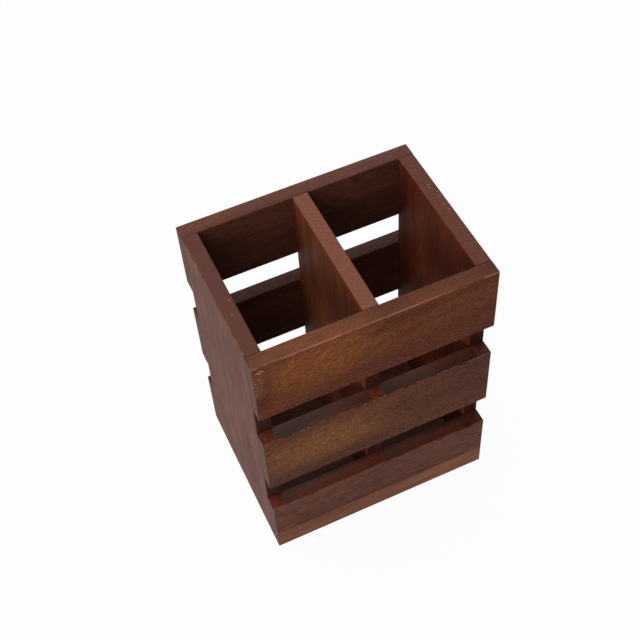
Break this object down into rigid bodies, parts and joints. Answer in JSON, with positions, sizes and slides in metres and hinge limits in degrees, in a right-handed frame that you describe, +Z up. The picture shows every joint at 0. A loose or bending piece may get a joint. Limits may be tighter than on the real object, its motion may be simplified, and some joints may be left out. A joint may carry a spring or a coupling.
{
  "type": "utensil caddy",
  "caption": "Open-topped slatted wooden utensil caddy with a compartment on each side of a full-height divider, on a flat base.",
  "frame": {"origin": "middle of the footprint, on the surface that the caddy stands on", "axes": "+X to the right along the front slats, +Y from front to back, +Z up; the front is the side with the slat glued from two staves"},
  "size_m": [0.152, 0.116, 0.203],
  "materials": {
    "slat_hardwood": "red-brown stain under satin lacquer",
    "light_stave_hardwood": "lighter stave, same stain and satin lacquer",
    "side_hardwood": "red-brown stain under satin lacquer",
    "divider_hardwood": "red-brown stain under satin lacquer",
    "base_hardwood": "dark red-brown stain under satin lacquer",
    "dowel_wood": "bare, glued in"
  },
  "bodies": {
    "root": {"left_side": "side_hardwood", "right_side": "side_hardwood", "divider": "divider_hardwood", "base_board": "base_hardwood", "front_top_slat": "slat_hardwood", "front_middle_slat": "slat_hardwood", "front_bottom_upper_stave": "slat_hardwood", "front_bottom_lower_stave": "light_stave_hardwood", "back_top_slat": "slat_hardwood", "back_middle_slat": "slat_hardwood", "back_bottom_slat": "slat_hardwood", "front_bottom_dowels": "dowel_wood", "front_middle_dowels": "dowel_wood", "front_top_dowels": "dowel_wood", "back_bottom_dowels": "dowel_wood", "back_middle_dowels": "dowel_wood", "back_top_dowels": "dowel_wood", "base_left_dowels": "dowel_wood", "base_right_dowels": "dowel_wood", "divider_foot_dowels": "dowel_wood"}
  },
  "joints": []
}
